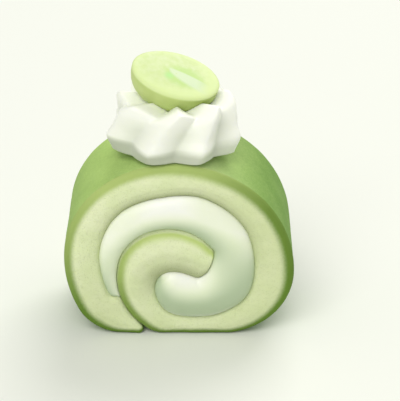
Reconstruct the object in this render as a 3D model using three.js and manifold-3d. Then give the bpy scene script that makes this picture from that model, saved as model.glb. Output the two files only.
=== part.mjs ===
// One slice of a green tea swiss roll, standing on its rolled edge, with a piped
// cream rosette and half a green grape on top.
//
// Frame: millimetres, +Z up, the cut faces look along -Y and +Y, and the origin is
// at the bottom centre. Seen from the front (-Y), the sponge sheet starts at a
// seam low on the left, runs clockwise once round, and ends as a tongue inside.

import * as THREE from 'three';
import { mergeVertices } from 'three/addons/utils/BufferGeometryUtils.js';
import Module from 'manifold-3d';

// ---- Driving dimensions ----

const sliceThickness = 40; // between the two cut edges of the skin
const assemblyGap = 0.3; // air between neighbouring pieces

// The rolled sheet. Each stretch is one arc of the skin side, tangent to the last:
// its radius (0 for a straight run), its sweep in degrees (or the straight run's
// length), and the point [x, z] that the cream side has reached at its end.
const seamTip = [-13.3, 1.1]; // where the skin side starts, at the seam
const seamHeading = 240; // degrees from +X: it sets out down and to the left
const seamTipInside = [-13.0, 1.9]; // the cream side there, a thin feathered edge
const stretches = [
  { radius: 2.2, sweep: 60, inside: [-14.6, 4.0] },
  { radius: 0, sweep: 5.7, inside: [-18.9, 10.0] },
  { radius: 16.5, sweep: 32, inside: [-21.8, 15.2] },
  { radius: 16.5, sweep: 32, inside: [-24.4, 15.9] },
  { radius: 46, sweep: 31, inside: [-27.8, 33.4] },
  { radius: 36, sweep: 47, inside: [-19.4, 49.4] },
  { radius: 40.5, sweep: 53, inside: [5.8, 55.1] },
  { radius: 42.5, sweep: 38, inside: [22.2, 43.5] },
  { radius: 42.5, sweep: 37, inside: [26.4, 26.6] },
  { radius: 25, sweep: 45, inside: [23.3, 14.9] },
  { radius: 25, sweep: 45, inside: [12.4, 7.9] },
  { radius: 0, sweep: 21, inside: [-2.3, 8.2] },
  { radius: 10.5, sweep: 37, inside: [-6.7, 12.0] },
  { radius: 26, sweep: 35, inside: [-8.6, 18.6] },
  { radius: 26, sweep: 34, inside: [-6.9, 23.2] },
  { radius: 18, sweep: 45, inside: [-3.5, 25.0] },
  { radius: 18, sweep: 46, inside: [0.7, 24.7] },
  { radius: 19.5, sweep: 36, inside: [5.5, 23.0] },
];
const outerTurnEnd = 11; // stretches before this one form the outer turn
const overlapEnd = 5; // stretches before this one can lie on the inner turn
const sheetPitch = 1.9; // spacing of the sheet's cross-sections
const seamGap = 0.35; // slit between the seam's end and the inner turn
const tongueNose = 2.8; // how far the tongue's round end stands past its last section
const noseSteps = 5;
const noseLastAngle = 80; // degrees of the rounding that the nose covers
const noseRoundness = 0.75; // below 1 makes the nose blunter than an ellipse
const fullCrownThickness = 9; // a sheet this thick has its cut faces fully crowned

// Cut face of the sheet from skin side (0) to cream side (1): how far each
// place stands proud of the skin's cut edge.
const sheetFace = [
  [0, -1.4],
  [0.05, -0.3],
  [0.18, 0.5],
  [0.5, 1.2],
  [0.84, 0.6],
  [1, -0.7],
];

// The cream between the turns, swept as a bead about a pivot inside the tongue.
const fillingPivot = [2.7, 31];
const fillingStep = 3.4; // degrees between its cross-sections
const fillingEdge = -0.7; // the bead's border, level with the sheet's crease
const beadHeight = 3.7; // how far the widest bead stands proud of its border
const beadFullWidth = 9; // a bead this wide reaches full height
const beadEndLength = 7; // the bead slopes down over this length at its blunt end
const beadAcross = [0, 0.1, 0.3, 0.5, 0.7, 0.9, 1];
const narrowestFilling = 0.7; // the cream starts where the slit is this wide
const fillingCrowding = 1.5; // above 1 its cross-sections close up towards the blunt end

// The rosette: eight twisted ridges from a star nozzle. They bulge over a smaller
// foot, most of all at the sides, where the roll's skin slopes away under them.
const rosetteCentre = [-1.5, 0]; // [x, y] of its axis
const ridgeCount = 8;
const ridgePhase = 23; // degrees from straight ahead to a ridge's foot
const leftStretch = 15; // degrees that the ridges on the far left lie further back
const stretchSharpness = 3; // how suddenly that sets in towards the left
const ridgeSharpness = 0.94; // 0 is a sine wave, 1 a zigzag
const rimWave = 1.5; // ridges stand this much above the rim's mean height
const rosetteTwist = 29; // degrees that a ridge turns from foot to rim
const twistDelay = 1.6; // above 1 the ridges start out straight up
const rosetteFoot = 18.7; // mean radius where the cream meets the roll, front and back
const footPinch = 4.5; // the foot's radius is this much less at the sides
const footRidgeDepth = 1.2; // the foot's ridges, either side of the mean radius
const rosetteUnderside = [0.2, 0.45, 0.65, 0.85]; // rings on the roll, as shares of the foot
const lobeSag = 0.25; // lobes at the sides hang down by this share of the skin's drop
const sagFade = 6; // how suddenly that fades out up the side
// Mean radius, height and ridge depth up the side, over the rim and into the middle.
const rosetteSide = [
  [20.8, 68.2, 1.4],
  [21.9, 72.8, 2.3],
  [20.7, 75.8, 1.9],
  [20, 79.2, 1.7],
  [19.3, 82.2, 1.6],
  [17.5, 83.8, 1.5],
  [13, 83.6, 1.3],
  [7, 82.5, 0.6],
];
const rimPoint = 5; // which of those points is the rim, counted from 0
const rimSharpness = 3; // how suddenly the ridges rise to the rim
const rosetteRings = 15;
const stepsPerRidge = 9;

// Half a green grape, cut lengthwise, its cut face up.
const grapeLength = 31;
const grapeWidth = 22;
const grapeDepth = 13; // it is cut a little above its middle
const grapeFullness = 2.6; // 2 is an ellipsoid, more is fuller at the cut
const grapeCentre = [-0.9, 0, 92.4]; // centre of the cut face
const grapeTiltForward = 20.5; // degrees about X: the rear edge is the higher one
const grapeTiltRight = 12.8; // degrees about Y: the right end is the lower one
const grapeTurn = -10; // degrees of the long axis within the cut face
const grapeSegments = 44;
const grapeRings = 11;
const cutFaceRings = [0.9, 0.5]; // rings of the cut face, as shares of its outline
const cutFaceCrown = 0.35; // the cut face swells this much at its middle

// ---- Small geometry helpers ----

const mergeDistance = 1e-4;
const radians = THREE.MathUtils.degToRad;
const lerp = THREE.MathUtils.lerp;
const minus = (a, b) => [a[0] - b[0], a[1] - b[1]];
const length = (a) => Math.hypot(a[0], a[1]);
const dot = (a, b) => a[0] * b[0] + a[1] * b[1];
const along = (a, direction, distance) => [
  a[0] + direction[0] * distance,
  a[1] + direction[1] * distance,
];

function meshGeometry(points, triangles) {
  const geometry = new THREE.BufferGeometry();
  geometry.setAttribute('position', new THREE.Float32BufferAttribute(points.flat(), 3));
  geometry.setIndex(triangles.flat());
  return mergeVertices(geometry, mergeDistance);
}

// Skins a row of loops that each run along the front and return along the back,
// and closes both ends by joining each loop's front to its back.
function skinLoops(loops) {
  const size = loops[0].length;
  const triangles = [];
  for (let i = 0; i + 1 < loops.length; i += 1) {
    for (let j = 0; j < size; j += 1) {
      const next = (j + 1) % size;
      const a = i * size + j;
      const b = i * size + next;
      triangles.push([a, b, a + size], [b, b + size, a + size]);
    }
  }
  const last = (loops.length - 1) * size;
  for (let j = 0; j + 1 < size / 2; j += 1) {
    const [front, frontNext, backNext, back] = [j, j + 1, size - 2 - j, size - 1 - j];
    triangles.push([front, backNext, frontNext], [front, back, backNext]);
    triangles.push([last + front, last + frontNext, last + backNext]);
    triangles.push([last + front, last + backNext, last + back]);
  }
  return meshGeometry(loops.flat(), triangles);
}

// A cross-section through the slice: a line from one point of the face to
// another, standing proud of the skin's cut edge by face(share) at each share.
function crossSection(from, to, shares, face) {
  const front = shares.map((share) => [
    lerp(from[0], to[0], share),
    -(sliceThickness / 2 + face(share)),
    lerp(from[1], to[1], share),
  ]);
  const back = front.map(([x, y, z]) => [x, -y, z]).reverse();
  return [...front, ...back];
}

// ---- The sponge sheet ----

// The skin side: points, their inward normals, and the stretch each belongs to.
function skinSide() {
  const rows = [];
  let [x, z] = seamTip;
  let heading = radians(seamHeading);
  stretches.forEach(({ radius, sweep }, stretch) => {
    const run = radius === 0 ? sweep : radius * radians(sweep);
    const steps = Math.max(1, Math.round(run / sheetPitch));
    const centre = [x + radius * Math.sin(heading), z - radius * Math.cos(heading)];
    const at = (share) => {
      const turned = radius === 0 ? heading : heading - (run * share) / radius;
      const point =
        radius === 0
          ? [x + run * share * Math.cos(heading), z + run * share * Math.sin(heading)]
          : [centre[0] - radius * Math.sin(turned), centre[1] + radius * Math.cos(turned)];
      return { point, heading: turned };
    };
    const lastStep = stretch === stretches.length - 1 ? steps : steps - 1;
    for (let step = 0; step <= lastStep; step += 1) {
      const share = step / steps;
      const { point, heading: turned } = at(share);
      const inward = [Math.sin(turned), -Math.cos(turned)];
      rows.push({ skin: [point[0], Math.max(point[1], 0)], inward, stretch, share });
    }
    ({ point: [x, z], heading } = at(1));
  });
  return rows;
}

// The cream side: a smooth curve through the stretches' inner points. Where it
// would run into the inner turn it lies along it, a slit's width away.
function addCreamSide(rows) {
  const knots = [seamTipInside, ...stretches.map(({ inside }) => inside)];
  const curve = new THREE.CatmullRomCurve3(
    knots.map(([x, z]) => new THREE.Vector3(x, 0, z)),
    false,
    'centripetal',
  );
  const innerTurn = rows.filter(({ stretch }) => stretch >= outerTurnEnd);
  for (const row of rows) {
    const place = curve.getPoint((row.stretch + row.share) / stretches.length);
    row.cream = [place.x, place.z];
    if (row.stretch < overlapEnd) {
      const nearest = innerTurn.reduce((best, candidate) =>
        length(minus(row.cream, candidate.skin)) < length(minus(row.cream, best.skin))
          ? candidate
          : best,
      );
      const clearance = -dot(minus(row.cream, nearest.skin), nearest.inward);
      if (clearance < seamGap) {
        row.cream = along(row.cream, nearest.inward, clearance - seamGap);
      }
    }
  }
  return rows;
}

// The tongue's round nose: sections that shrink as they move on.
function tongueEnd({ skin, cream }) {
  const middle = [(skin[0] + cream[0]) / 2, (skin[1] + cream[1]) / 2];
  const half = [(skin[0] - cream[0]) / 2, (skin[1] - cream[1]) / 2];
  const forward = [half[1] / length(half), -half[0] / length(half)];
  return Array.from({ length: noseSteps }, (_, index) => {
    const angle = radians((noseLastAngle * (index + 1)) / noseSteps);
    const centre = along(middle, forward, tongueNose * Math.sin(angle));
    const width = Math.cos(angle) ** noseRoundness;
    return { skin: along(centre, half, width), cream: along(centre, half, -width) };
  });
}

const sheetRows = addCreamSide(skinSide());
const noseRows = tongueEnd(sheetRows.at(-1));

function spongeSheet() {
  const shares = sheetFace.map(([share]) => share);
  const loops = [...sheetRows, ...noseRows].map(({ skin, cream }) => {
    const swell = Math.min(1, length(minus(skin, cream)) / fullCrownThickness);
    const proud = new Map(sheetFace.map(([share, height]) => [share, height * swell]));
    return crossSection(skin, cream, shares, (share) => proud.get(share));
  });
  return skinLoops(loops);
}

// ---- The cream filling ----

// Moves each point of an open line sideways, to the right of its travel.
function shiftRight(line, distance) {
  return line.map((point, index) => {
    const ahead = line[Math.min(index + 1, line.length - 1)];
    const behind = line[Math.max(index - 1, 0)];
    const travel = minus(ahead, behind);
    const right = [travel[1] / length(travel), -travel[0] / length(travel)];
    return along(point, right, distance);
  });
}

// Adds to each point its distance from the pivot and its clockwise angle about it.
function aboutPivot(line) {
  let angle = null;
  return line.map((point) => {
    const arm = minus(point, fillingPivot);
    const turned = -Math.atan2(arm[1], arm[0]);
    const turns = angle === null ? 0 : Math.round((angle - turned) / (2 * Math.PI));
    angle = turned + turns * 2 * Math.PI;
    return { radius: length(arm), angle };
  });
}

function radiusAt(wall, angle) {
  const next = Math.max(1, wall.findIndex((place) => place.angle >= angle));
  const [a, b] = [wall[next - 1], wall[next]];
  return lerp(a.radius, b.radius, (angle - a.angle) / (b.angle - a.angle));
}

function fillingSections() {
  const innerTurn = sheetRows.filter(({ stretch }) => stretch >= outerTurnEnd);
  const wall = [
    ...[...sheetRows, ...noseRows].map(({ cream }) => cream),
    ...[...innerTurn, ...noseRows].map(({ skin }) => skin).reverse(),
  ];
  const places = aboutPivot(shiftRight(wall, assemblyGap));
  const end = places.reduce((best, { angle }, index) =>
    angle > places[best].angle ? index : best, 0);
  const outer = places.slice(0, end + 1);
  const inner = places.slice(end).reverse();
  const sections = [];
  const first = Math.max(outer[0].angle, inner[0].angle);
  const steps = Math.round((places[end].angle - first) / radians(fillingStep));
  for (let step = 0; step < steps; step += 1) {
    const share = 1 - (1 - step / steps) ** fillingCrowding;
    const angle = lerp(first, places[end].angle, share);
    const ends = [radiusAt(outer, angle), radiusAt(inner, angle)];
    const arm = [Math.cos(angle), -Math.sin(angle)];
    sections.push(ends.map((radius) => along(fillingPivot, arm, radius)));
  }
  const reach = (point) => length(minus(point, fillingPivot));
  const isSlit = ([outside, inside]) => reach(outside) - reach(inside) < narrowestFilling;
  return sections.slice(sections.findLastIndex(isSlit) + 1);
}

function creamFilling() {
  const sections = fillingSections();
  const middles = sections.map(([a, b]) => [(a[0] + b[0]) / 2, (a[1] + b[1]) / 2]);
  const loops = sections.map(([outer, inner], index) => {
    const width = length(minus(outer, inner));
    const toEnd = Math.min(1, length(minus(middles[index], middles.at(-1))) / beadEndLength);
    const slope = Math.sqrt(1 - (1 - toEnd) ** 2);
    const height = beadHeight * Math.min(1, width / beadFullWidth) * slope;
    const bead = (share) => fillingEdge + height * Math.sqrt(1 - (2 * share - 1) ** 2);
    return crossSection(outer, inner, beadAcross, bead);
  });
  return skinLoops(loops);
}

// ---- The grape half ----

// A full half ellipsoid: the cut face in the XY plane, the rounded side below it.
// grow moves the whole surface outwards, lift raises the cut face alone.
function grapeHalf(grow, lift) {
  const points = [[0, 0, cutFaceCrown + lift]];
  const rings = [];
  const addRing = (share, height) => {
    rings.push(points.length);
    for (let step = 0; step < grapeSegments; step += 1) {
      const angle = (step / grapeSegments) * 2 * Math.PI;
      const x = (grapeLength / 2 + grow) * share * Math.cos(angle);
      const y = (grapeWidth / 2 + grow) * share * Math.sin(angle);
      points.push([x, y, height]);
    }
  };
  [...cutFaceRings].reverse().forEach((share) => {
    addRing(share, cutFaceCrown * (1 - share ** 2) + lift);
  });
  for (let ring = 0; ring < grapeRings; ring += 1) {
    const angle = ((ring / grapeRings) * Math.PI) / 2;
    const depth = (grapeDepth + grow) * Math.sin(angle) ** (2 / grapeFullness);
    addRing(Math.cos(angle) ** (2 / grapeFullness), ring === 0 ? lift : -depth);
  }
  points.push([0, 0, -grapeDepth - grow]);
  const triangles = [];
  for (let step = 0; step < grapeSegments; step += 1) {
    const next = (step + 1) % grapeSegments;
    triangles.push([0, rings[0] + step, rings[0] + next]);
    for (let ring = 0; ring + 1 < rings.length; ring += 1) {
      const [a, b] = [rings[ring], rings[ring + 1]];
      triangles.push([a + step, b + step, a + next], [a + next, b + step, b + next]);
    }
    const tip = points.length - 1;
    triangles.push([rings.at(-1) + step, tip, rings.at(-1) + next]);
  }
  return meshGeometry(points, triangles);
}

function placeGrape(object) {
  object.position.set(...grapeCentre);
  object.rotation.set(radians(grapeTiltForward), radians(grapeTiltRight), radians(grapeTurn));
  return object;
}

// ---- The rosette ----

// Height of the roll's skin above a point of its width.
function rollTop(x) {
  const crest = sheetRows.filter(({ stretch, inward }) => stretch < outerTurnEnd && inward[1] < 0);
  const next = Math.max(1, crest.findIndex(({ skin }) => skin[0] >= x));
  const [a, b] = [crest[next - 1].skin, crest[next].skin];
  return lerp(a[1], b[1], (x - a[0]) / (b[0] - a[0]));
}

function rosetteBlank() {
  const points = [];
  const rings = [];
  const segments = ridgeCount * stepsPerRidge;
  // One ring, turned from the foot by so many degrees. The wave is 1 on a ridge and
  // -1 in a groove.
  const addRing = (turn, reachAt, heightAt) => {
    rings.push(points.length);
    for (let step = 0; step < segments; step += 1) {
      const phase = (step / stepsPerRidge) * 2 * Math.PI;
      const wave = Math.asin(ridgeSharpness * Math.cos(phase)) / Math.asin(ridgeSharpness);
      const even = radians(ridgePhase - 90) + phase / ridgeCount;
      const leftness = Math.max(0, -Math.cos(even)) ** stretchSharpness;
      const foot = even - radians(leftStretch) * leftness;
      const reach = reachAt(wave, foot);
      const x = rosetteCentre[0] + reach * Math.cos(foot + radians(turn));
      const y = rosetteCentre[1] + reach * Math.sin(foot + radians(turn));
      points.push([x, y, heightAt(x, wave)]);
    }
  };
  const footReach = (wave, angle) =>
    rosetteFoot + footRidgeDepth * wave - footPinch * Math.cos(angle) ** 2;
  const onRoll = (x) => rollTop(x) + assemblyGap;
  rosetteUnderside.forEach((share) => {
    addRing(0, (wave, angle) => share * footReach(wave, angle), onRoll);
  });
  addRing(0, footReach, onRoll);
  const side = new THREE.CatmullRomCurve3(
    rosetteSide.map(([radius, height, depth]) => new THREE.Vector3(radius, depth, height)),
    false,
    'centripetal',
  );
  const rimShare = rimPoint / (rosetteSide.length - 1);
  for (let ring = 0; ring < rosetteRings; ring += 1) {
    const share = ring / (rosetteRings - 1);
    const { x: radius, y: depth, z: height } = side.getPoint(share);
    const rise = Math.min(1, share / rimShare);
    const lift = rimWave * rise ** rimSharpness;
    const sag = lobeSag * (1 - rise) ** sagFade;
    addRing(
      rosetteTwist * rise ** twistDelay,
      (wave) => radius + depth * wave,
      (x, wave) => height + lift * wave - sag * (rollTop(0) - rollTop(x)),
    );
  }
  const bottom = points.length;
  points.push([...rosetteCentre, rollTop(rosetteCentre[0]) + assemblyGap]);
  const top = points.length;
  points.push([...rosetteCentre, rosetteSide.at(-1)[1]]);
  const triangles = [];
  for (let step = 0; step < segments; step += 1) {
    const next = (step + 1) % segments;
    triangles.push([bottom, rings[0] + next, rings[0] + step]);
    for (let ring = 0; ring + 1 < rings.length; ring += 1) {
      const [a, b] = [rings[ring], rings[ring + 1]];
      triangles.push([a + step, a + next, b + step], [a + next, b + next, b + step]);
    }
    triangles.push([top, rings.at(-1) + step, rings.at(-1) + next]);
  }
  return meshGeometry(points, triangles);
}

// The cream with the grape's hollow pressed into it.
async function rosette() {
  const wasm = await Module();
  wasm.setup();
  const solid = (geometry) =>
    new wasm.Manifold(
      new wasm.Mesh({
        numProp: 3,
        vertProperties: new Float32Array(geometry.attributes.position.array),
        triVerts: new Uint32Array(geometry.index.array),
      }),
    );
  const print = placeGrape(new THREE.Object3D());
  print.updateMatrix();
  const grape = grapeHalf(assemblyGap, assemblyGap).applyMatrix4(print.matrix);
  const { vertProperties, triVerts } = solid(rosetteBlank()).subtract(solid(grape)).getMesh();
  const geometry = new THREE.BufferGeometry();
  geometry.setAttribute('position', new THREE.BufferAttribute(vertProperties, 3));
  geometry.setIndex(new THREE.BufferAttribute(triVerts, 1));
  return geometry;
}

// ---- Materials and assembly ----

const finish = (color, roughness) =>
  new THREE.MeshStandardMaterial({ color, roughness, metalness: 0 });

const swissRoll = new THREE.Group();

function addPiece(name, geometry, material) {
  const mesh = new THREE.Mesh(geometry, material);
  mesh.name = name;
  swissRoll.add(mesh);
  return mesh;
}

addPiece('sponge_sheet', spongeSheet(), finish('#d3dda8', 0.9));
addPiece('cream_filling', creamFilling(), finish('#eef3df', 0.55));
addPiece('cream_rosette', await rosette(), finish('#f7fbe9', 0.55));
placeGrape(addPiece('grape_half', grapeHalf(0, 0), finish('#cfe388', 0.3)));

export default swissRoll;
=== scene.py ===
import math

import bpy
import numpy as np
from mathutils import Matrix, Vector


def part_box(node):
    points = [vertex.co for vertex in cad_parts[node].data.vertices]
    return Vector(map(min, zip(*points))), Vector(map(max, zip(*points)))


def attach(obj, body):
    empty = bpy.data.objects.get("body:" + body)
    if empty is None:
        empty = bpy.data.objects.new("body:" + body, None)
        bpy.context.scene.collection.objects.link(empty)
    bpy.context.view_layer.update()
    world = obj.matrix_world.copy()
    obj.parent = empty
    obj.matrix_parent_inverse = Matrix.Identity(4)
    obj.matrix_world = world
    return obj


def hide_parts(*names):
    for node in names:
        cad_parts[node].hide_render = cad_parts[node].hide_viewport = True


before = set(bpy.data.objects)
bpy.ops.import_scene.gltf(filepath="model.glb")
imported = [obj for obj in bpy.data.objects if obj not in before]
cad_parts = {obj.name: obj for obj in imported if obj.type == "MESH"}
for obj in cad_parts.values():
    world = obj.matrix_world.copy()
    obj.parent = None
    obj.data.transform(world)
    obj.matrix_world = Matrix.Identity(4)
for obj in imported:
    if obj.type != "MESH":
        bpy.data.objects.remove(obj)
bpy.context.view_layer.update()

# ---- The studio ----
# The slice stands on a pale matt table in a bright white room. A large soft lamp hangs over
# it, a little to the left and in front, and the camera looks down on the cut face.

MM = 0.001
VIEW_TILT = math.radians(28)  # the camera looks this far below the horizon
VIEW_DISTANCE = 575 * MM
VIEW_TARGET = np.array([7.3, -20, 54]) * MM
LENS = 150.3  # millimetres, on a 36 mm sensor
NEAREST_SEEN = 10 * MM
ROOM_COLOUR = "#f6f8f4"
ROOM_LIGHT = 0.5
TABLE_HALF = 3.0  # metres
TABLE_COLOUR = "#e6e8e3"
TABLE_ROUGHNESS = 0.8
# Each soft lamp: its place, side and power. The second one lights the back and the table.
LAMPS = [((-0.6, -1.5, 2.1), 1.75, 38.0), ((0.8, 1.8, 2.0), 2.0, 46.0)]
LAMP_COLOUR = "#fffdf6"


def colour(code):
    """A colour written as #rrggbb, as the red, green, blue and alpha of linear light."""
    parts = np.array([int(code[i : i + 2], 16) for i in (1, 3, 5)]) / 255
    linear = np.where(parts > 0.04045, ((parts + 0.055) / 1.055) ** 2.4, parts / 12.92)
    return (*linear.tolist(), 1.0)


class Socket:
    """A node's output. Arithmetic on it adds Math nodes and gives their result."""

    def __init__(self, finish, output):
        self.finish = finish
        self.output = output

    def math(self, operation, *others):
        return self.finish.node("Math", {"operation": operation}, (self, *others))

    def __add__(self, other):
        return self.math("ADD", other)

    def __sub__(self, other):
        return self.math("SUBTRACT", other)

    def __rsub__(self, other):
        return self.finish.node("Math", {"operation": "SUBTRACT"}, (other, self))

    def __mul__(self, other):
        return self.math("MULTIPLY", other)

    __radd__ = __add__
    __rmul__ = __mul__

    def rise(self, low, high):
        """0 below low, 1 above high, and a smooth slope between them."""
        span = {"Value": self, "From Min": low, "From Max": high}
        return self.finish.node("MapRange", {"interpolation_type": "SMOOTHSTEP"}, span)


class Finish:
    """One material, and the one method that adds a node to it."""

    def __init__(self, name):
        self.material = bpy.data.materials.new(name)
        self.material.use_nodes = True
        self.tree = self.material.node_tree
        self.tree.nodes.clear()

    def node(self, kind, settings=(), values=(), output=0):
        node = self.tree.nodes.new("ShaderNode" + kind)
        for name, setting in dict(settings).items():
            setattr(node, name, setting)
        for key, value in values.items() if isinstance(values, dict) else enumerate(values):
            if isinstance(value, Socket):
                self.tree.links.new(value.output, node.inputs[key])
            else:
                node.inputs[key].default_value = value
        return Socket(self, node.outputs[output]) if node.outputs else None

    def attribute(self, name):
        return self.node("Attribute", {"attribute_name": name}, output="Fac")

    def place(self):
        return self.node("TexCoord", output="Object")

    def noise(self, size, detail=2.0):
        """Soft blotches about as large as size, in millimetres, from 0 to 1. Each step of
        detail adds finer ones, half as large as the last."""
        values = {"Vector": self.place(), "Scale": 1 / (size * MM), "Detail": detail}
        return self.node("TexNoise", {}, values)

    def blend(self, share, first, second):
        """The first colour at share 0 and the second at share 1."""
        values = {0: share, 6: first, 7: second}  # the sockets that a colour blend uses
        return self.node("Mix", {"data_type": "RGBA"}, values, output=2)

    def bump(self, height, depth):
        """The normal of a surface that stands up by height, 0 to 1, times depth in mm."""
        return self.node("Bump", {}, {"Height": height, "Distance": depth * MM})

    def close(self, **sockets):
        values = {name.replace("_", " "): value for name, value in sockets.items()}
        shader = self.node("BsdfPrincipled", {}, values)
        self.node("OutputMaterial", {}, {"Surface": shader})
        return self.material


def aim(thing, place, target):
    """Puts a lamp or the camera at a place, looking at a target."""
    away = np.subtract(target, place)
    tilt = math.atan2(math.hypot(away[0], away[1]), -away[2])
    thing.location = place
    thing.rotation_euler = (tilt, 0, math.atan2(-away[0], away[1]))


def add_object(name, data):
    thing = bpy.data.objects.new(name, data)
    bpy.context.scene.collection.objects.link(thing)
    return thing


view_line = np.array([0, math.cos(VIEW_TILT), -math.sin(VIEW_TILT)])
camera = add_object("camera", bpy.data.cameras.new("camera"))
camera.data.lens = LENS
camera.data.clip_start = NEAREST_SEEN
aim(camera, VIEW_TARGET - VIEW_DISTANCE * view_line, VIEW_TARGET)
bpy.context.scene.camera = camera
bpy.context.scene.view_settings.view_transform = "Standard"

for lamp_place, size, power in LAMPS:
    lamp = add_object("lamp", bpy.data.lights.new("lamp", "AREA"))
    lamp.data.size = size
    lamp.data.energy = power
    lamp.data.color = colour(LAMP_COLOUR)[:3]
    aim(lamp, lamp_place, VIEW_TARGET)

room = bpy.data.worlds.new("room")
room.use_nodes = True
room.node_tree.nodes["Background"].inputs["Color"].default_value = colour(ROOM_COLOUR)
room.node_tree.nodes["Background"].inputs["Strength"].default_value = ROOM_LIGHT
bpy.context.scene.world = room

table_corners = np.array([(-1, -1, 0), (1, -1, 0), (1, 1, 0), (-1, 1, 0)]) * TABLE_HALF
table_mesh = bpy.data.meshes.new("table")
table_mesh.from_pydata(table_corners.tolist(), [], [(0, 1, 2, 3)])
table = add_object("table", table_mesh)
table_paint = Finish("table_paint")
table_finish = table_paint.close(Base_Color=colour(TABLE_COLOUR), Roughness=TABLE_ROUGHNESS)
table_mesh.materials.append(table_finish)

# ---- The sponge sheet ----
# A sheet of green tea sponge, baked flat, spread with cream and rolled up with its green
# baked skin outside. The knife leaves a fine open crumb that puffs up a little between
# the skin and the cream. The roll's weight has flattened its underside.

SEAM_TIP = (-13.3, 1.1)  # where the skin side starts, in millimetres, at the seam
SEAM_HEADING = math.radians(240)  # it sets out down and to the left
SEAM_TIP_INSIDE = (-13.0, 1.9)  # the cream side there
# Each stretch of the skin side is an arc that carries on from the last: its radius (0 for
# a straight run), its sweep in degrees (or the run's length), and the point that the cream
# side has reached at its end. Then come, at its end, the depths from the skin at which the
# green line on the cut face starts and ends, and how pale the skin and its green line are
# painted there, from 0 to 1: painted light where the stretch faces up and to the left,
# towards the key lamp, and painted shade where it faces down or to the right.
STRETCHES = [
    (2.2, 60, (-14.6, 4.0), 0.0, 2.4, 0),
    (0, 5.7, (-18.9, 10.0), 0.0, 2.8, 0),
    (16.5, 32, (-21.8, 15.2), 0.0, 4.2, 0),
    (16.5, 32, (-24.4, 15.9), 0.0, 4.0, 0),
    (46, 31, (-27.8, 33.4), 0.0, 3.4, 0.4),
    (36, 47, (-19.4, 49.4), 0.0, 3.0, 0.75),
    (40.5, 53, (5.8, 55.1), 0.4, 4.2, 0.65),
    (42.5, 38, (22.2, 43.5), 0.0, 3.7, 0.1),
    (42.5, 37, (26.4, 26.6), 0.0, 4.3, 0.0),
    (25, 45, (23.3, 14.9), 0.0, 3.6, 0.0),
    (25, 45, (12.4, 7.9), 0.0, 2.8, 0),
    (0, 21, (-2.3, 8.2), 0.0, 2.6, 0),
    (10.5, 37, (-6.7, 12.0), 0.3, 3.8, 0.15),
    (26, 35, (-8.6, 18.6), 0.7, 3.6, 0.3),
    (26, 34, (-6.9, 23.2), 1.2, 3.6, 0.7),
    (18, 45, (-3.5, 25.0), 2.1, 4.3, 1.0),
    (18, 46, (0.7, 24.7), 2.2, 4.3, 1.0),
    (19.5, 36, (5.5, 23.0), 1.2, 3.2, 1.0),
]
OUTER_TURN_END = 11  # stretches before this one form the outer turn
OVERLAP_END = 5  # stretches before this one can lie on the inner turn
SHEET_PITCH = 0.62  # spacing of the sheet's cross-sections
SEAM_GAP = 0.03  # slit between the seam's end and the inner turn
TONGUE_NOSE = 2.8  # how far the tongue's round end stands past its last section
NOSE_STEPS = 14
NOSE_LAST_ANGLE = math.radians(88)
NOSE_ROUNDNESS = 0.75  # below 1 makes the nose blunter than an ellipse
FULL_CROWN_THICKNESS = 9.0  # a sheet this thick has its cut faces fully crowned
# The cut face from the skin (0) to the cream (1), and how far it stands proud there.
SHEET_FACE = [(0, -1.4), (0.05, -0.3), (0.18, 0.5), (0.5, 1.2), (0.84, 0.6), (1, -0.7)]
FACE_STEPS = 44  # points across a cut face, through the slice on the skin, and in the cream
SKIN_STEPS = 34
HIDDEN_STEPS = 8
# Painted shade in the crease beside the cream, darkest where the cream lies below the sheet:
# its width at places counted in stretches, how far up the sheet may face for it to show
# there, and how dark it is at each share of its width.
CREASE_SHADE_PLACES = (11, 14, 18)
CREASE_SHADE_WIDTHS = (4.6, 11.0, 8.5)
CREASE_SHADE_REACH = (0.1, 0.7, 0.7)
CREASE_SHADE_PROFILE = ((0.2, 0.6, 0.75, 1), (1, 0.3, 0.3, 0))
CRUMB_RELIEF = [(5.5, 0.16), (1.9, 0.09), (0.9, 0.06)]  # size and height of the unevenness
SKIN_RELIEF = [(11.0, 0.22), (3.2, 0.05)]
SKIN_RELIEF_START = 3.0  # the skin is even at its cut edge and fully uneven this far in
RELIEF_SEED = 11
RELIEF_REPEAT = 32  # the unevenness repeats after this many of its sizes
CRUMB_COLOUR = "#dfe9bb"
# the crumb in painted shade, in shaded stretches and in its pores
CRUMB_SHADED = "#c8d39e"
CRUMB_PALE = "#e6edc6"
BLOTCH_SIZE = 9.0
PALE_BLOTCHES = (0.35, 0.7)  # the crumb turns pale between these levels of the blotches
GRAIN_SIZE = 0.8
PORE_SIZE = 0.6
PORE_WIDTHS = (0.1, 0.42)  # a pore is open up to the first share of its cell, shut at the next
PORE_SHADE = 0.2
# painted shade in the crease beside the cream
CREASE_SHADE_COLOUR = "#b2bb90"
SKIN_SHADED = "#729846"  # the skin in the deepest painted shade and in the brightest painted light
SKIN_LIT = "#b5d27a"  # and where it was baked palest
EDGE_SHADED = "#64842c"  # the green line in the same two places
EDGE_LIT = "#c0d283"
SKIN_BLOTCHES = 0.35  # how much the blotches and the grain change the skin's paleness
SKIN_GRAIN = 0.5
# How much painted shade darkens the crumb, from 0 to 1, at places counted in stretches.
SHADE_PLACES = (1.5, 3, 4, 5, 6.5, 8, 10, 11.5, 12.5, 14)
SHADE_AMOUNTS = (0, 1, 1, 0, 0, 1, 1, 0.3, 0.6, 0)
SHADE_SHARE = 0.45  # of the shaded crumb colour, where that is 1
LINE_FADE = 1.2  # the green line rises from nothing over this depth
LINE_CORE = (0.45, 1.2)  # and fades out between these shares of its end's depth
LINE_GRAIN = 0.15  # which the grain shifts by this much
GRAIN_HEIGHT = 0.6  # the grain stands up by this share of a pore's depth
PORE_DEPTH = 0.1
LINE_AND_LIGHT = np.array([stretch[3:] for stretch in STRETCHES]).T

lattice = np.random.default_rng(RELIEF_SEED).uniform(-1, 1, (RELIEF_REPEAT,) * 3)


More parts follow.
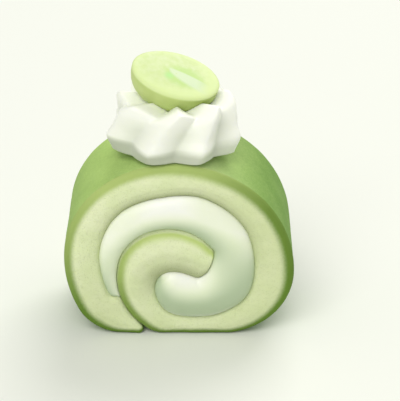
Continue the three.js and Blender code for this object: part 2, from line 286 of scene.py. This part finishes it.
def soft_noise(points, size):
    """Random heights at the corners of cubes of that size, blended inside each cube by
    3t^2 - 2t^3 along each axis."""
    place = points / size
    low = np.floor(place).astype(int)
    t = place - low
    t = t * t * (3 - 2 * t)
    total = np.zeros(points.shape[:-1])
    for corner in np.ndindex(2, 2, 2):
        share = np.where(corner, t, 1 - t).prod(axis=-1)
        total += share * lattice[tuple(np.moveaxis((low + corner) % RELIEF_REPEAT, -1, 0))]
    return total


def relief(points, layers):
    """The sum of soft noises, each of its own size and height."""
    return sum(height * soft_noise(points, size) for size, height in layers)


def smooth_curve(knots, place):
    """A centripetal Catmull-Rom curve through the knots, at places counted in knots: a
    cubic between two knots whose slopes come from the knots before and after, weighted
    by the square roots of the distances between them."""
    knots = np.asarray(knots, float)
    ends = (2 * knots[0] - knots[1], 2 * knots[-1] - knots[-2])
    knots = np.concatenate([ends[:1], knots, ends[1:]])
    first = np.clip(np.floor(place).astype(int), 0, len(knots) - 4)
    t = (place - first)[:, None]
    a, b, c, d = (knots[first + step] for step in range(4))
    before, here, after = (
        np.sqrt(np.linalg.norm(q - p, axis=1))[:, None] for p, q in ((a, b), (b, c), (c, d))
    )
    slope_b = ((b - a) / before - (c - a) / (before + here) + (c - b) / here) * here
    slope_c = ((c - b) / here - (d - b) / (here + after) + (d - c) / after) * here
    cubic = 2 * (b - c) + slope_b + slope_c
    square = 3 * (c - b) - 2 * slope_b - slope_c
    return ((cubic * t + square) * t + slope_b) * t + b


def skin_side(pitch):
    """Points, inward normals and stretch counts of the sheet's skin side. A run d along an
    arc of radius r turns by d / r and ends a chord of d sin(d / 2r) / (d / 2r) away, in
    the direction half turned."""
    place, heading = np.array(SEAM_TIP), SEAM_HEADING
    points, normals, counts = [], [], []
    for number, (radius, sweep, *_) in enumerate(STRETCHES):
        run = radius * math.radians(sweep) or sweep
        steps = max(1, round(run / pitch))
        share = np.arange(steps + 1) / steps
        turned = share * (run / radius if radius else 0)
        chord = (run * share * np.sinc(turned / (2 * math.pi)))[:, None]
        course = heading - turned / 2
        path = place + chord * np.stack([np.cos(course), np.sin(course)], axis=1)
        facing = heading - turned
        last = number + 1 == len(STRETCHES)
        kept = slice(None) if last else slice(-1)
        points.append(path[kept])
        normals.append(np.stack([np.sin(facing), -np.cos(facing)], axis=1)[kept])
        counts.append((number + share)[kept])
        place, heading = path[-1], facing[-1]
    points = np.concatenate(points)
    points[:, 1] = np.maximum(points[:, 1], 0)
    return points, np.concatenate(normals), np.concatenate(counts)


def cream_side(skin, normals, counts):
    """The curve through the stretches' inner points. Where the outer turn would run into
    the skin of the inner turn, it is moved out along the nearest normal there."""
    inside = smooth_curve([SEAM_TIP_INSIDE, *(inner for _, _, inner, *_ in STRETCHES)], counts)
    turn = counts >= OUTER_TURN_END
    overlap = counts < OVERLAP_END
    away = inside[overlap][:, None] - skin[turn][None]
    nearest = np.linalg.norm(away, axis=2).argmin(axis=1)
    facing = normals[turn][nearest]
    clearance = -(away[np.arange(len(nearest)), nearest] * facing).sum(axis=1)
    inside[overlap] += facing * np.minimum(clearance - SEAM_GAP, 0)[:, None]
    return inside


def tongue_nose(skin, inside):
    """The round end of the sheet: sections that move on by the nose's length times the
    sine of an angle and narrow by its cosine, to a power that makes the nose blunt."""
    middle, half = (skin + inside) / 2, (skin - inside) / 2
    forward = np.array([half[1], -half[0]]) / np.linalg.norm(half)
    angle = (np.arange(1, NOSE_STEPS + 1) / NOSE_STEPS * NOSE_LAST_ANGLE)[:, None]
    centre = middle + forward * TONGUE_NOSE * np.sin(angle)
    width = np.cos(angle) ** NOSE_ROUNDNESS
    return centre + half * width, centre - half * width


def cross_sections(start, end, shares, heights, edge, side_steps, return_steps):
    """Rings round the slice, one for each row. A ring crosses the front face from start
    to end, goes through to the back, crosses that, and comes back. The faces stand
    proud of the skin's cut edge by heights, which is one row or one for each ring."""
    heights = np.broadcast_to(heights, (len(start), len(shares)))
    across = start[:, None] + (end - start)[:, None] * shares[None, :, None]
    front = np.stack([across[..., 0], -(edge + heights), across[..., 1]], axis=-1)
    back = front[:, ::-1] * (1, -1, 1)

    def through(first, last, steps):
        share = (1 - np.cos(np.arange(1, steps) / steps * math.pi))[None, :, None] / 2
        return first[:, None] + (last - first)[:, None] * share

    side = through(front[:, -1], back[:, 0], side_steps)
    home = through(back[:, -1], front[:, 0], return_steps)
    return np.concatenate([front, side, back, home], axis=1)


def ring_mesh(name, rings, values=(), first_pole=None, last_pole=None):
    """A closed skin over rings of points, in millimetres. Quads join each ring to the
    next. Each end is a fan of triangles to its pole, or one flat face without a pole.
    values are named numbers, one for each point."""
    count, size = rings.shape[:2]
    step = np.arange(size)
    around = np.arange(count - 1)[:, None] * size
    here, beside = around + step, around + (step + 1) % size
    quads = np.stack([here, beside, beside + size, here + size], axis=-1).reshape(-1, 4)
    points, faces = rings.reshape(-1, 3), quads.tolist()
    for pole, ring, turn in ((first_pole, step, -1), (last_pole, step + (count - 1) * size, 1)):
        if pole is None:
            faces.append(ring[::turn].tolist())
        else:
            tip = np.full(size, len(points))
            fan = np.stack([ring, np.roll(ring, -turn), tip], axis=1)
            points = np.concatenate([points, [pole]])
            faces += fan.tolist()
    mesh = bpy.data.meshes.new(name)
    mesh.from_pydata((points * MM).tolist(), [], faces)
    mesh.polygons.foreach_set("use_smooth", np.ones(len(faces), bool))
    for key, numbers in dict(values).items():
        padded = np.zeros(len(points), np.float32)
        padded[: count * size] = numbers.ravel()
        mesh.attributes.new(key, "FLOAT", "POINT").data.foreach_set("value", padded)
    return mesh


def add_piece(name, mesh, material):
    """Puts a piece in place of the CAD node of its name, in the object's one body."""
    mesh.materials.append(material)
    piece = add_object(name + "_look", mesh)
    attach(piece, "root")
    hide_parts(name)
    return piece


face_places = np.linspace(0, len(SHEET_FACE) - 1, FACE_STEPS)
face_shares, face_heights = smooth_curve(SHEET_FACE, face_places).T
cut_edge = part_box("sponge_sheet")[1].y / MM - max(height for _, height in SHEET_FACE)
skin, skin_normals, skin_counts = skin_side(SHEET_PITCH)
inside = cream_side(skin, skin_normals, skin_counts)
nose_skin, nose_inside = tongue_nose(skin[-1], inside[-1])


def sponge_mesh():
    """The sheet's rings, roughened: the cut faces along Y, the skin along its normal. Its
    values say where each point is in the depth of the green line, how much painted shade
    lies on the crumb in the crease beside the cream and in some stretches, whether it is on
    the skin, and how much painted light or shade lies on the skin and its green line."""
    outer, inner = np.concatenate([skin, nose_skin]), np.concatenate([inside, nose_inside])
    thickness = np.linalg.norm(outer - inner, axis=1)
    swell = np.minimum(1, thickness / FULL_CROWN_THICKNESS)[:, None]
    rings = cross_sections(
        outer, inner, face_shares, face_heights * swell, cut_edge, HIDDEN_STEPS, SKIN_STEPS
    )
    front = slice(0, FACE_STEPS)
    back = slice(FACE_STEPS + HIDDEN_STEPS - 1, 2 * FACE_STEPS + HIDDEN_STEPS - 1)
    rim = slice(2 * FACE_STEPS + HIDDEN_STEPS - 1, None)
    for face, way in ((front, -1), (back, 1)):
        rings[:, face, 1] += way * swell * relief(rings[:, face], CRUMB_RELIEF)
    normals = np.concatenate([skin_normals, np.repeat(skin_normals[-1:], NOSE_STEPS, axis=0)])
    swing = relief(rings[:, rim], SKIN_RELIEF)[..., None] * normals[:, None]
    growth = np.clip((cut_edge - np.abs(rings[:, rim, 1:2])) / SKIN_RELIEF_START, 0, 1)
    rings[:, rim, ::2] -= swing * growth
    rings[..., 2] = np.maximum(rings[..., 2], 0)

    ends = np.arange(1, len(STRETCHES) + 1)
    columns = [np.interp(skin_counts, ends, column) for column in LINE_AND_LIGHT]
    columns += [np.interp(skin_counts, CREASE_SHADE_PLACES, row) for row in (CREASE_SHADE_WIDTHS, CREASE_SHADE_REACH)]
    columns.append(np.interp(skin_counts, SHADE_PLACES, SHADE_AMOUNTS))
    columns = np.pad(columns, ((0, 0), (0, NOSE_STEPS)), "edge")[..., None]
    start, end, painted_light, shade_width, shade_reach, stretch_shade = columns
    end[-NOSE_STEPS:, 0] *= np.linspace(1, 0, NOSE_STEPS + 1)[:-1]  # it thins out round the end
    shares = np.zeros(rings.shape[:2])
    shares[:, front] = face_shares
    shares[:, back] = face_shares[::-1]
    shares[:, FACE_STEPS : back.start] = 1
    depth = shares * thickness[:, None]
    # Painted shade in the crease beside the cream, where the cream lies below the sheet.
    crease_shade = np.interp((thickness[:, None] - depth) / shade_width, *CREASE_SHADE_PROFILE)
    values = {
        "line_start": 1 + (depth - start) / LINE_FADE,
        "line_end": depth / end,
        "crease_shade": crease_shade * np.clip(shade_reach - normals[:, 1:], 0, 1),
        "stretch_shade": np.broadcast_to(stretch_shade, depth.shape),
        "on_skin": np.broadcast_to(np.arange(rings.shape[1]) >= rim.start, depth.shape),
        "painted_light": np.broadcast_to(painted_light, depth.shape),
    }
    return ring_mesh("sponge", rings, values)


def sponge_finish():
    """Pale crumb with fine pores. Painted shade darkens it in the pores, in some stretches
    and in the crease beside the cream. A green line on it follows the baked skin, and
    painted light and shade make both paler in some stretches and darker in others."""
    finish = Finish("green_tea_sponge")
    blotch = finish.noise(BLOTCH_SIZE)
    grain = finish.noise(GRAIN_SIZE, detail=4)
    cells = {"Vector": finish.place(), "Scale": 1 / (PORE_SIZE * MM)}
    pores = 1 - finish.node("TexVoronoi", {}, cells).rise(*PORE_WIDTHS)
    crumb = finish.blend(blotch.rise(*PALE_BLOTCHES), colour(CRUMB_COLOUR), colour(CRUMB_PALE))
    # Painted shade on the crumb in some stretches and in its pores.
    stretch_shade = finish.attribute("stretch_shade") * SHADE_SHARE
    crumb = finish.blend(stretch_shade + pores * PORE_SHADE, crumb, colour(CRUMB_SHADED))
    crumb = finish.blend(finish.attribute("crease_shade"), crumb, colour(CREASE_SHADE_COLOUR))
    # Painted light and shade on the skin and its green line, set per stretch.
    painted_light = finish.attribute("painted_light")
    mottle = (blotch - 0.5) * SKIN_BLOTCHES + (grain - 0.5) * SKIN_GRAIN
    baked = finish.blend(painted_light + mottle, colour(SKIN_SHADED), colour(SKIN_LIT))
    edge = finish.blend(painted_light, colour(EDGE_SHADED), colour(EDGE_LIT))
    on_skin = finish.attribute("on_skin")
    line = 1 - (finish.attribute("line_end") + (grain - 0.5) * LINE_GRAIN).rise(*LINE_CORE)
    line = line * finish.attribute("line_start").rise(0, 1)
    height = grain * GRAIN_HEIGHT - pores * (1 - line)
    return finish.close(
        Base_Color=finish.blend(line, crumb, finish.blend(on_skin, edge, baked)),
        Roughness=0.88,
        Normal=finish.bump(height, PORE_DEPTH),
        Subsurface_Weight=0.12,
        Subsurface_Radius=(1.0, 1.0, 0.5),
        Subsurface_Scale=1.2 * MM,
        Specular_IOR_Level=0.3,
    )


add_piece("sponge_sheet", sponge_mesh(), sponge_finish())

# ---- The cream filling ----
# Whipped cream, spread over the sheet before it is rolled. It fills the spiral between the
# turns from face to face and swells out of the cut as a soft round bead.

FILLING_PIVOT = np.array([2.7, 31])  # inside the tongue; the bead's sections turn about it
FILLING_STEP = math.radians(1.0)
FILLING_CROWDING = 1.5  # above 1 the sections close up towards the blunt end
FILLING_SPREAD = 0.06  # the cream presses this far into the sponge
NARROWEST_FILLING = 0.55  # the cream starts where the slit is this wide
BEAD_EDGE = -0.7  # the bead's border, level with the sheet's crease
BEAD_HEIGHT = 3.7  # how far the widest bead stands proud of its border
BEAD_FULL_WIDTH = 9.0  # a bead this wide reaches full height
BEAD_END_LENGTH = 7.0  # it slopes down over this length at its blunt end
BEAD_STEPS = 30
FILLING_DEPTH_STEPS = 4
CREAM_RELIEF = [(7.0, 0.14), (2.6, 0.04)]
CREAM_COLOUR = "#f9fbf4"
# Painted light and shade on the cream: a tint of light bounced off the sponge, then the colour
# of deep shade.
FILLING_TINT = "#ebf4d4"
FILLING_SHADE = "#b8c9a8"
CREAM_RIM = "#d3dccd"  # the lowest rim of the bead, pale again with light from below
CREAM_BLOTCH_SIZE = 9.0
CREAM_GRAIN_SIZE = 1.4
CREAM_GRAIN_DEPTH = 0.05
# The painted shade of a place is 0 at the middle line of the bead, 1 at its lower side
# and -1 at its upper side. The painted tint of bounced light, the dark colour of painted
# shade and the pale rim of painted light from below set in between these levels.
TINT_SHADES = (-0.5, 0.4)
DARK_SHADES = (0.0, 0.9)
RIM_SHADES = (1.2, 1.6)
TINT_SWING = 0.4  # the blotches thin the tint by up to this share
LOW_SHADE = 0.8  # painted shade grows by this much from a height of this down to the table and by this much up to a place that lies this far to the right of the pivot
SHADE_TOP = 50.0  # of this down to the table
RIGHT_SHADE = 0.3  # and by this much up to a place
SHADE_RIGHT = 25.0  # that lies this far to the right of the pivot
WHITEST = -4.0  # the top of the bead is whitest, a painted highlight, at this place of its width, and takes on the painted tint of bounced light between these distances from it, fading in between these heights, up to this share
WHITEST_SPAN = (4.0, 12.0)  # and takes on the tint between these distances from it,
TINTED_HEIGHTS = (34.0, 44.0)  # fading in between these heights,
SIDE_TINT = 0.55  # up to this share


def shift_right(line, distance):
    """Moves an open line sideways, to the right of its travel."""
    travel = np.gradient(line, axis=0)
    travel /= np.linalg.norm(travel, axis=1)[:, None]
    return line + distance * np.stack([travel[:, 1], -travel[:, 0]], axis=1)


def about_pivot(line):
    """The distance of each point from the pivot and its clockwise angle about it."""
    arm = line - FILLING_PIVOT
    return np.linalg.norm(arm, axis=1), np.unwrap(-np.arctan2(arm[:, 1], arm[:, 0]))


def filling_sections():
    """Radial lines from the outer to the inner wall of the space between the turns, at
    angles that close up towards the blunt end: the share of the whole angle that is
    left goes down by a power. They start where the slit opens."""
    turn = skin_counts >= OUTER_TURN_END
    wall = [inside, nose_inside, nose_skin[::-1], skin[turn][::-1]]
    radius, angle = about_pivot(shift_right(np.concatenate(wall), -FILLING_SPREAD))
    end = angle.argmax()
    outer = np.maximum.accumulate(angle[: end + 1]), radius[: end + 1]
    inner = np.maximum.accumulate(angle[end:][::-1]), radius[end:][::-1]
    first = max(outer[0][0], inner[0][0])
    share = 1 - (1 - np.arange(0, 1, FILLING_STEP / (angle[end] - first))) ** FILLING_CROWDING
    angles = first + (angle[end] - first) * share
    arm = np.stack([np.cos(angles), -np.sin(angles)], axis=1)
    reach = [np.interp(angles, *side)[:, None] for side in (outer, inner)]
    narrow = np.flatnonzero(reach[0] - reach[1] < NARROWEST_FILLING)
    start = narrow[:-1].max(initial=-1) + 1
    return [(FILLING_PIVOT + arm * side)[start:] for side in reach]


def filling_mesh():
    """A bead whose cut face is half an ellipse across, as high as its width allows, and
    that slopes down to its blunt end as a quarter circle does. Each point's painted shade
    is its drop below the middle line, counted in half widths, and some more low down and
    on the right. Away from a white painted highlight on the top, a painted tint of light
    bounced off the sponge sets in."""
    outer, inner = filling_sections()
    middle = (outer + inner) / 2
    width = np.linalg.norm(outer - inner, axis=1)
    to_end = np.minimum(1, np.linalg.norm(middle - middle[-1], axis=1) / BEAD_END_LENGTH)
    slope = np.sqrt(1 - (1 - to_end) ** 2)
    height = BEAD_HEIGHT * np.minimum(1, width / BEAD_FULL_WIDTH) * slope
    angle = np.linspace(0, math.pi, BEAD_STEPS)
    heights = BEAD_EDGE + height[:, None] * np.sin(angle)
    across = (1 - np.cos(angle)) / 2
    depth_steps = FILLING_DEPTH_STEPS, FILLING_DEPTH_STEPS
    rings = cross_sections(outer, inner, across, heights, cut_edge, *depth_steps)
    swell = np.clip(np.abs(rings[..., 1]) - cut_edge, 0, 1)
    rings[..., 1] += np.sign(rings[..., 1]) * swell * relief(rings, CREAM_RELIEF)
    # Painted shade: the drop below the bead's middle line, more low down and on the right.
    below = (middle[:, None, 1] - rings[..., 2]) / (width[:, None] / 2)
    below += LOW_SHADE * (1 - middle[:, None, 1] / SHADE_TOP)
    to_right = (middle[:, None, 0] - FILLING_PIVOT[0]) / SHADE_RIGHT
    below += RIGHT_SHADE * np.clip(to_right, 0, 1)
    # Away from a painted white highlight on top, the bead takes the tint of bounced light.
    aside = np.interp(np.abs(rings[..., 0] - WHITEST), WHITEST_SPAN, (0, SIDE_TINT))
    aside *= np.interp(rings[..., 2], TINTED_HEIGHTS, (0, 1))
    return ring_mesh("filling", rings, {"painted_shade": below, "aside": aside})


def cream_finish(name, tint_code, shade_code):
    """White whipped cream with a soft sheen. As its painted shade deepens it goes through a
    tint of bounced light to the colour of deep shade, and painted light from below makes
    it pale again at the rim below that."""
    finish = Finish(name)
    painted_shade = finish.attribute("painted_shade")
    blotch = finish.noise(CREAM_BLOTCH_SIZE)
    tint = painted_shade.rise(*TINT_SHADES) * (blotch * TINT_SWING + (1 - TINT_SWING))
    tint = tint.math("MAXIMUM", finish.attribute("aside"))
    cream = finish.blend(tint, colour(CREAM_COLOUR), colour(tint_code))
    cream = finish.blend(painted_shade.rise(*DARK_SHADES), cream, colour(shade_code))
    return finish.close(
        Base_Color=finish.blend(painted_shade.rise(*RIM_SHADES), cream, colour(CREAM_RIM)),
        Roughness=0.4,
        Normal=finish.bump(finish.noise(CREAM_GRAIN_SIZE, detail=3), CREAM_GRAIN_DEPTH),
        Subsurface_Weight=0.3,
        Subsurface_Radius=(1.0, 1.0, 0.8),
        Subsurface_Scale=2.5 * MM,
        Specular_IOR_Level=0.5,
    )


filling_cream = cream_finish("filling_cream", FILLING_TINT, FILLING_SHADE)
add_piece("cream_filling", filling_mesh(), filling_cream)

# ---- The cream rosette ----
# Whipped cream piped through a star nozzle in one turn: eight twisted ridges that stand on
# the roll's skin, bulge over it, and fold in at the rim. The grape is pressed into it.

ROSETTE_CENTRE = np.array([-1.5, 0.0])
RIDGE_COUNT = 8
RIDGE_PHASE = math.radians(23)  # from straight ahead to a ridge's foot
RIDGE_SHARPNESS = 0.94  # 0 is a sine wave, 1 a zigzag
RIM_WAVE = 1.5  # ridges stand this much above the rim's mean height
RIM_SHARPNESS = 3  # how suddenly they rise to the rim
ROSETTE_TWIST = math.radians(29)  # that a ridge turns from foot to rim
TWIST_DELAY = 1.6  # above 1 the ridges start out straight up
LEFT_STRETCH = math.radians(15)  # the ridges on the far left lie this much further back
STRETCH_SHARPNESS = 3  # how suddenly that sets in towards the left
ROSETTE_FOOT = 18.7  # mean radius where the cream meets the roll, front and back
FOOT_RIDGE_DEPTH = 1.2
# The mean radius, the height and the ridges' depth up the side, over the rim and inside.
ROSETTE_SIDE = [
    (20.8, 68.2, 1.4),
    (21.9, 72.8, 2.3),
    (20.7, 75.8, 1.9),
    (20.0, 79.2, 1.7),
    (19.3, 82.2, 1.6),
    (17.5, 83.8, 1.5),
    (13.0, 83.6, 1.3),
    (7.0, 82.5, 0.6),
]
RIM_POINT = 5  # which of those is the rim, counted from 0
STEPS_PER_RIDGE = 44
ROSETTE_RINGS = 84
FOOT_SINK = 0.25  # the cream sinks this far into the roll's skin
FOOT_RINGS = 8
FOOT_PINCH = 4.5  # the foot is this much narrower at the sides, where the skin slopes away
LOBE_SAG = 0.25  # there the lobes hang down by this share of the skin's drop
SAG_FADE = 6  # how suddenly that fades out up the side
UNDER_RINGS = (14, 22)  # counted from the foot up, the shaded underside fades out here
GROOVE_RINGS = (40, 62)  # and the shade in the grooves here
GROOVE_SHADE = 0.36
UNDER_SHADE = 0.7  # the underside is this much shaded in front
UNDER_SWING = 0.42  # and this much more so on the left, less on the right
# the rosette's cream takes this tint, then a darker colour, with painted shade
ROSETTE_TINT = "#f6f9ec"
ROSETTE_SHADE = "#bec4b2"
# The half grape that presses the cream aside: a full half ellipsoid, tilted towards the
# front and the right. Above 2 the fullness makes it fuller than an ellipsoid.
GRAPE_LENGTH = 31.0
GRAPE_WIDTH = 22.0
GRAPE_DEPTH = 13.0
GRAPE_FULLNESS = 2.6
GRAPE_CENTRE = np.array([-0.9, 0, 92.4])
GRAPE_TURNS = [math.radians(angle) for angle in (20.5, 12.8, -10)]  # about X, Y and Z
LEAST_SIZE = 0.05  # nothing nearer the middle of the cut face is pressed out all the way


def turn_matrix(x_angle, y_angle, z_angle):
    """The turn about Z, then about Y, then about X."""
    cx, cy, cz = np.cos([x_angle, y_angle, z_angle])
    sx, sy, sz = np.sin([x_angle, y_angle, z_angle])
    about_x = np.array([[1, 0, 0], [0, cx, -sx], [0, sx, cx]])
    about_y = np.array([[cy, 0, sy], [0, 1, 0], [-sy, 0, cy]])
    about_z = np.array([[cz, -sz, 0], [sz, cz, 0], [0, 0, 1]])
    return about_x @ about_y @ about_z


grape_frame = turn_matrix(*GRAPE_TURNS)


def in_place(points):
    """Takes points from the grape's own axes to its place on the cream."""
    return GRAPE_CENTRE + points @ grape_frame.T


def press_grape(points):
    """Moves the points that lie inside the grape out to its surface, straight away from
    the middle of its cut face. A point's size is its share of the way to the surface."""
    local = (points - GRAPE_CENTRE) @ grape_frame
    scaled = np.abs(local) / (GRAPE_LENGTH / 2, GRAPE_WIDTH / 2, GRAPE_DEPTH)
    flat = np.hypot(scaled[..., 0], scaled[..., 1])
    size = (flat**GRAPE_FULLNESS + scaled[..., 2] ** GRAPE_FULLNESS) ** (1 / GRAPE_FULLNESS)
    pressed = (size < 1) & (local[..., 2] < 0)
    grown = np.where(pressed, 1 / np.maximum(size, LEAST_SIZE), 1)
    return in_place(local * grown[..., None])


def roll_top(x):
    """The height of the roll's skin at a place of its width."""
    crest = (skin_counts < OUTER_TURN_END) & (skin_normals[:, 1] < 0)
    return np.interp(x, skin[crest, 0], skin[crest, 1])


def rosette_mesh():
    """Rings whose radius swings by the ridge depth times a wave between a sine and a
    zigzag, turned further on each ring up to the rim, where the ridges also rise. On the
    left the ridges lie further back by a power of the cosine. The foot is narrower by the
    square of the cosine, and over it the lobes sag with the skin."""
    phase = np.arange(RIDGE_COUNT * STEPS_PER_RIDGE) / STEPS_PER_RIDGE * 2 * math.pi
    wave = np.arcsin(RIDGE_SHARPNESS * np.cos(phase)) / math.asin(RIDGE_SHARPNESS)
    around = RIDGE_PHASE - math.pi / 2 + phase / RIDGE_COUNT
    around = around - LEFT_STRETCH * np.maximum(0, -np.cos(around)) ** STRETCH_SHARPNESS
    knots = len(ROSETTE_SIDE) - 1
    share = np.linspace(0, 1, ROSETTE_RINGS)
    radius, height, depth = smooth_curve(ROSETTE_SIDE, share * knots).T[..., None]
    rise = np.minimum(1, share / (RIM_POINT / knots))[:, None]
    angle = around + ROSETTE_TWIST * rise**TWIST_DELAY
    reach = radius + depth * wave
    foot = ROSETTE_FOOT + FOOT_RIDGE_DEPTH * wave - FOOT_PINCH * np.cos(around) ** 2
    x, y = reach * np.cos(angle), reach * np.sin(angle)
    drop = roll_top(0) - roll_top(ROSETTE_CENTRE[0] + x)
    lift = RIM_WAVE * rise**RIM_SHARPNESS * wave
    top = height + lift - LOBE_SAG * drop * (1 - rise) ** SAG_FADE
    foot_x, foot_y = ROSETTE_CENTRE[:, None] + foot * (np.cos(around), np.sin(around))
    foot_ring = np.stack([foot_x, foot_y, roll_top(foot_x) - FOOT_SINK], axis=-1)
    rings = np.stack([ROSETTE_CENTRE[0] + x, ROSETTE_CENTRE[1] + y, top], axis=-1)
    share = np.arange(FOOT_RINGS)[:, None, None] / FOOT_RINGS
    rings = np.concatenate([foot_ring + (rings[0] - foot_ring) * share, rings])
    ring = np.arange(len(rings))[:, None]
    # Painted shade on the underside, stronger on the left, and in the grooves.
    under = np.interp(ring, UNDER_RINGS, (1, 0)) * (UNDER_SHADE - UNDER_SWING * np.cos(around))
    groove = np.interp(ring, GROOVE_RINGS, (1, 0)) * (1 - wave) / 2
    painted_shade = under + GROOVE_SHADE * (1 - under) * groove
    swell = relief(rings, CREAM_RELIEF)[..., None]
    outward = np.stack([np.cos(around), np.sin(around), 0 * around], axis=-1)
    rings[FOOT_RINGS:] += (swell * outward)[FOOT_RINGS:]
    rings = press_grape(rings)
    bottom = (*ROSETTE_CENTRE, roll_top(ROSETTE_CENTRE[0]) - FOOT_SINK)
    middle = press_grape(np.array([*ROSETTE_CENTRE, ROSETTE_SIDE[-1][1]]))
    return ring_mesh("rosette", rings, {"painted_shade": painted_shade}, bottom, middle)


rosette_cream = cream_finish("rosette_cream", ROSETTE_TINT, ROSETTE_SHADE)
add_piece("cream_rosette", rosette_mesh(), rosette_cream)

# ---- The grape half ----
# A large seedless green grape, cut lengthwise with a sharp knife and pressed into the
# cream, its wet cut face up. A pale core runs along it, with greener flesh beside it.

GRAPE_SEGMENTS = 128
GRAPE_RINGS = 40
FACE_RINGS = 44
FACE_CROWN = 0.35  # the cut face swells by this much at its middle
FACE_DROP = 0.45  # and rounds off by this much at its edge
FACE_DROP_POWER = 24  # the higher, the nearer the edge the rounding starts
FLESH_COLOUR = "#cdde9b"
FLESH_PALE = "#d6e3b3"
FLESH_RIM = "#d8e8a6"
FLESH_GREEN = "#bedb88"
FLESH_GREENEST = "#b3e28e"
CORE_COLOUR = "#d3e3bd"
GRAPE_SKIN = "#d2e195"
GRAPE_SKIN_DEEP = "#b4c872"
GRAPE_SKIN_SHADED = "#a2b75a"  # the skin in painted shade at its right-hand end, away from the lamp
SHADED_END = (2.0, 11.0)  # it sets in between these places along the grape
FLESH_GRAIN_SIZE = 2.2
PALE_GRAIN = (0.3, 0.8)  # the flesh turns pale between these levels of its grain
GRAPE_BLOTCH_SIZE = 8.0
GRAPE_GRAIN_SIZE = 0.9
GRAPE_GRAIN_DEPTH = 0.05
CORE_TIP = (-3.3, 2.3)  # the core's pointed end, along and across the cut face
CORE_BENDS = (-0.1, -0.008)  # how far the core's straight side falls per mm and per mm2
CORE_SPREAD = 2.25  # its curved side falls by this times the square root of the distance
STRAIGHT_FADE = (-0.3, 0.6)  # how softly each side, the tip and the other end set in
CURVED_FADE = (-0.6, 1.4)
TIP_FADE = (0.0, 1.2)
CORE_END = (7.0, 13.0)
RIM_CENTRE = (-2.5, 2.0)  # thin flesh outside an oval about this place is the palest
RIM_SIZE = (16.0, 11.5)
RIM_FADE = (0.6, 1.2)  # it sets in between these shares of the oval
RIM_GRAIN = 0.2  # which the grain shifts by up to this much
GREEN_CENTRE = (2.8, -0.6)
GREEN_SIZE = (7.6, 5.4)  # half the length and width of the green flesh round the core
GREEN_FADE = (0.7, 1.3)
GREEN_GRAIN = 0.3
GREENEST = (-2.1, -1.7)
GREENEST_SIZE = 2.6


def grape_mesh():
    """Half an ellipsoid made fuller by a power: at an angle a below the cut, a ring is
    cos(a)^(2/n) of the outline wide and sin(a)^(2/n) of the depth down. The cut face
    swells up by a small crown times 1 - share^2 and rounds off at its edge by a drop
    times a high power of the share."""
    power = 2 / GRAPE_FULLNESS
    around = np.arange(GRAPE_SEGMENTS) / GRAPE_SEGMENTS * 2 * math.pi
    first_angle = math.asin((FACE_DROP / GRAPE_DEPTH) ** (1 / power))
    angle = np.linspace(first_angle, math.pi / 2, GRAPE_RINGS, endpoint=False)
    face = np.arange(1, FACE_RINGS) / FACE_RINGS
    share = np.concatenate([face, np.cos(angle) ** power])[:, None]
    crown = FACE_CROWN * (1 - face**2) - FACE_DROP * face**FACE_DROP_POWER
    height = np.concatenate([crown, -GRAPE_DEPTH * np.sin(angle) ** power])[:, None]
    x = GRAPE_LENGTH / 2 * share * np.cos(around)
    y = GRAPE_WIDTH / 2 * share * np.sin(around)
    rings = np.stack([x, y, np.broadcast_to(height, x.shape)], axis=-1)[::-1]
    cut = np.arange(len(rings)) >= GRAPE_RINGS - 1
    values = {
        "along": rings[..., 0],
        "across": rings[..., 1],
        "cut": np.broadcast_to(cut[:, None], x.shape),
    }
    poles = in_place(np.array([(0, 0, -GRAPE_DEPTH), (0, 0, FACE_CROWN)]))
    return ring_mesh("grape", in_place(rings), values, *poles)


def grape_finish():
    """Translucent flesh with a pale core. The core is pointed at one end. From there one
    side runs nearly straight and the other falls away like a square root. Greener flesh
    lies round it in an oval, greenest at one spot, with a paler rim outside, and the skin
    is below the cut, darker in painted shade towards one end."""
    finish = Finish("green_grape")
    along, across = finish.attribute("along"), finish.attribute("across")
    grain = finish.noise(FLESH_GRAIN_SIZE, detail=3)

    def distance(centre, size):
        """How far out a place is, counted in half widths of an oval."""
        right = (along - centre[0]) * (1 / size[0])
        up = (across - centre[1]) * (1 / size[1])
        return (right * right + up * up).math("SQRT")

    run = (along - CORE_TIP[0]).math("MAXIMUM", 0.0)
    straight = run * CORE_BENDS[0] + run * run * CORE_BENDS[1] + CORE_TIP[1]
    curved = CORE_TIP[1] - run.math("SQRT") * CORE_SPREAD
    core = (straight - across).rise(*STRAIGHT_FADE) * (across - curved).rise(*CURVED_FADE)
    core = core * run.rise(*TIP_FADE) * (1 - along.rise(*CORE_END))
    green = 1 - (distance(GREEN_CENTRE, GREEN_SIZE) + grain * GREEN_GRAIN).rise(*GREEN_FADE)
    greenest = 1 - distance(GREENEST, (GREENEST_SIZE, GREENEST_SIZE)).rise(0, 1)
    flesh = finish.blend(grain.rise(*PALE_GRAIN), colour(FLESH_COLOUR), colour(FLESH_PALE))
    rim = (distance(RIM_CENTRE, RIM_SIZE) + grain * RIM_GRAIN).rise(*RIM_FADE)
    flesh = finish.blend(rim, flesh, colour(FLESH_RIM))
    flesh = finish.blend(green, flesh, colour(FLESH_GREEN))
    flesh = finish.blend(greenest, flesh, colour(FLESH_GREENEST))
    flesh = finish.blend(core, flesh, colour(CORE_COLOUR))
    blotch = finish.noise(GRAPE_BLOTCH_SIZE)
    skin_tone = finish.blend(blotch, colour(GRAPE_SKIN), colour(GRAPE_SKIN_DEEP))
    # Painted shade on the skin towards its right-hand end.
    skin_tone = finish.blend(along.rise(*SHADED_END), skin_tone, colour(GRAPE_SKIN_SHADED))
    return finish.close(
        Base_Color=finish.blend(finish.attribute("cut"), skin_tone, flesh),
        Roughness=0.5,
        Normal=finish.bump(finish.noise(GRAPE_GRAIN_SIZE, detail=3), GRAPE_GRAIN_DEPTH),
        Subsurface_Weight=0.25,
        Subsurface_Radius=(1.0, 1.0, 0.5),
        Subsurface_Scale=2 * MM,
        Coat_Weight=0.05,
        Coat_Roughness=0.3,
    )


add_piece("grape_half", grape_mesh(), grape_finish())
